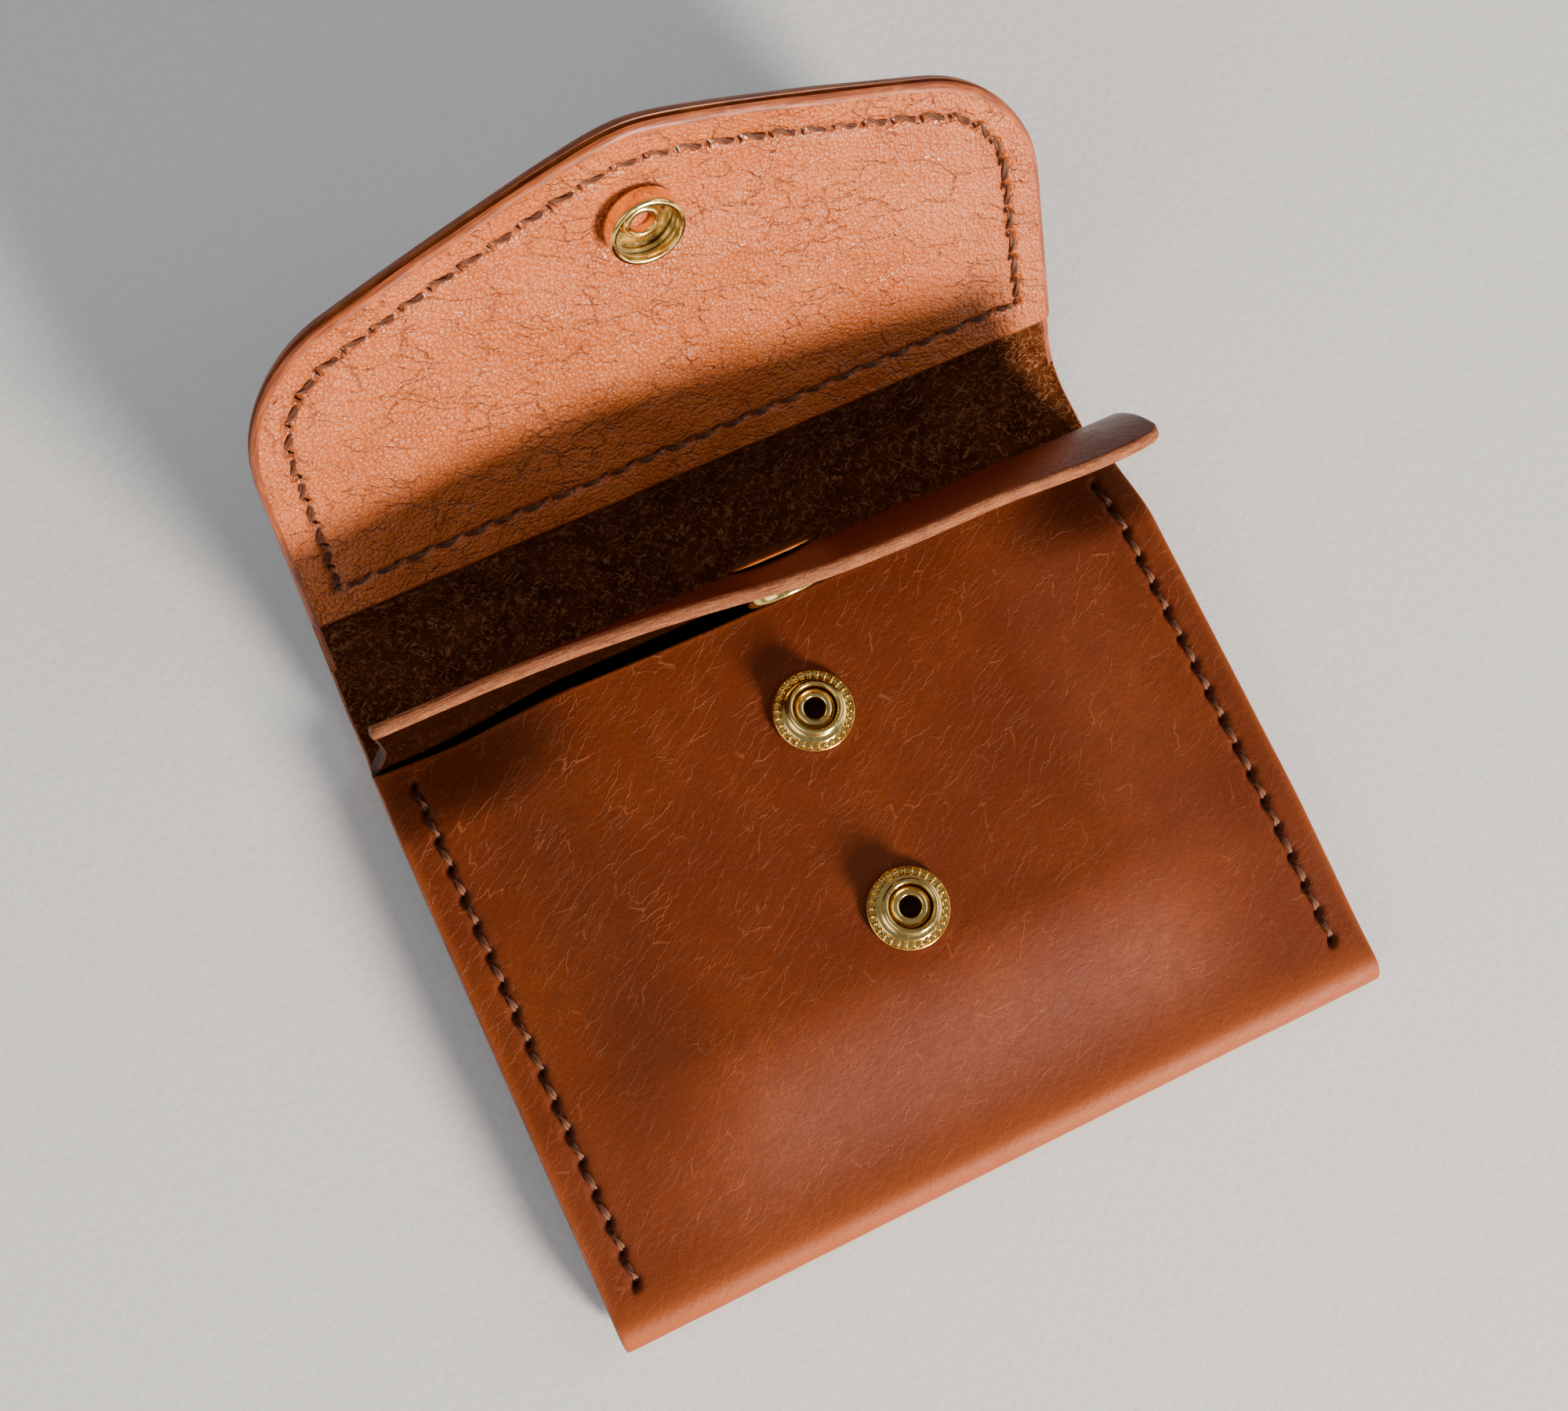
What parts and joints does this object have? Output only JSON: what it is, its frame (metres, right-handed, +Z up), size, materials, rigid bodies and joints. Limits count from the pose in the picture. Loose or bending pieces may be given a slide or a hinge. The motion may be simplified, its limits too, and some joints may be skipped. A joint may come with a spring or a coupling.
{
  "type": "card holder",
  "caption": "Leather card holder with a card pocket, a coin pocket under its own inner flap, and a long outer flap; both flaps close with ring snaps.",
  "frame": {"origin": "centre of the flat outer face of the back panel, which the holder lies on", "axes": "+X across the holder, +Y from the bottom fold to the mouth, +Z up out of the back panel towards the front"},
  "size_m": [0.1084, 0.1227, 0.064],
  "materials": {
    "tan_leather": "smooth vegetable-tanned, waxed",
    "lining_leather": "pebbled grain, satin",
    "brown_thread": "waxed thread",
    "brass": "polished",
    "spring_steel": "bright"
  },
  "bodies": {
    "body": {"main_shell": "tan_leather", "divider_panel": "tan_leather", "left_seam_thread": "brown_thread", "right_seam_thread": "brown_thread", "upper_stud": "brass", "upper_stud_post": "brass", "lower_stud": "brass", "lower_stud_post": "brass"},
    "spine": {"flap_spine": "tan_leather"},
    "flap": {"outer_flap": "tan_leather", "flap_lining": "lining_leather", "flap_seam_thread": "brown_thread", "flap_snap_cap": "brass", "flap_snap_post": "brass", "flap_snap_socket": "brass", "flap_snap_spring": "spring_steel"},
    "coin_flap": {"coin_flap": "tan_leather", "coin_snap_cap": "brass", "coin_snap_post": "brass", "coin_snap_socket": "brass", "coin_snap_spring": "spring_steel"}
  },
  "joints": [
    {"name": "spine_fold", "type": "hinge", "parent": "body", "child": "spine", "pos_m": [0, 0.0406, 0.0017], "axis": [1, 0, 0], "range_deg": [0, 72]},
    {"name": "flap_fold", "type": "hinge", "parent": "spine", "child": "flap", "pos_m": [0, 0.05848, 0.01131], "axis": [1, 0, 0], "range_deg": [-45, 46.3]},
    {"name": "coin_flap_fold", "type": "hinge", "parent": "body", "child": "coin_flap", "pos_m": [0, 0.0393, 0.0146], "axis": [1, 0, 0], "range_deg": [0, 73.1]}
  ],
  "couplings": [
    {"joint": "coin_flap_fold", "follows": "spine_fold", "ratio": 1.0139}
  ]
}
